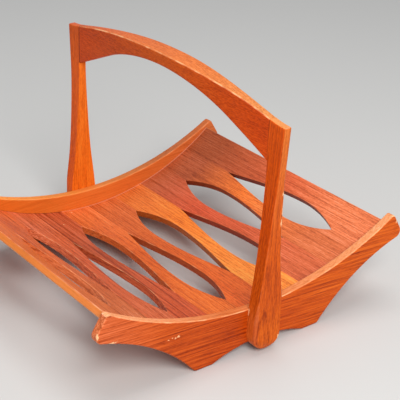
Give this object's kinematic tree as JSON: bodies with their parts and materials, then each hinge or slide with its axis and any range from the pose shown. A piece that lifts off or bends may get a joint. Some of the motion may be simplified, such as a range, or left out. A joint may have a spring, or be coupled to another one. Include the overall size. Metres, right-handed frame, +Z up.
{
  "type": "magazine rack",
  "caption": "Teak magazine rack: a curved slatted tray with leaf-shaped openings between two footed end boards, under a fixed arched carrying handle on two tapered posts.",
  "frame": {"origin": "on the floor under the middle of the rack, half way between the end boards", "axes": "+X along the end boards to the right as seen from the front board, +Y from the front board to the rear board, +Z up"},
  "size_m": [0.461, 0.4428, 0.317],
  "materials": {
    "oiled_teak": "satin oiled, lightly worn",
    "dowel_beech": "plain, glued in"
  },
  "bodies": {
    "root": {"tray_slat_1": "oiled_teak", "tray_slat_2": "oiled_teak", "tray_slat_3": "oiled_teak", "tray_slat_4": "oiled_teak", "tray_slat_5": "oiled_teak", "tray_slat_6": "oiled_teak", "tray_slat_7": "oiled_teak", "tray_slat_8": "oiled_teak", "tray_slat_9": "oiled_teak", "tray_slat_10": "oiled_teak", "front_end_board": "oiled_teak", "rear_end_board": "oiled_teak", "front_post": "oiled_teak", "rear_post": "oiled_teak", "handle_grip": "oiled_teak", "front_post_upper_dowel": "dowel_beech", "front_post_lower_dowel": "dowel_beech", "front_grip_upper_dowel": "dowel_beech", "front_grip_lower_dowel": "dowel_beech", "rear_post_upper_dowel": "dowel_beech", "rear_post_lower_dowel": "dowel_beech", "rear_grip_upper_dowel": "dowel_beech", "rear_grip_lower_dowel": "dowel_beech"}
  },
  "joints": []
}
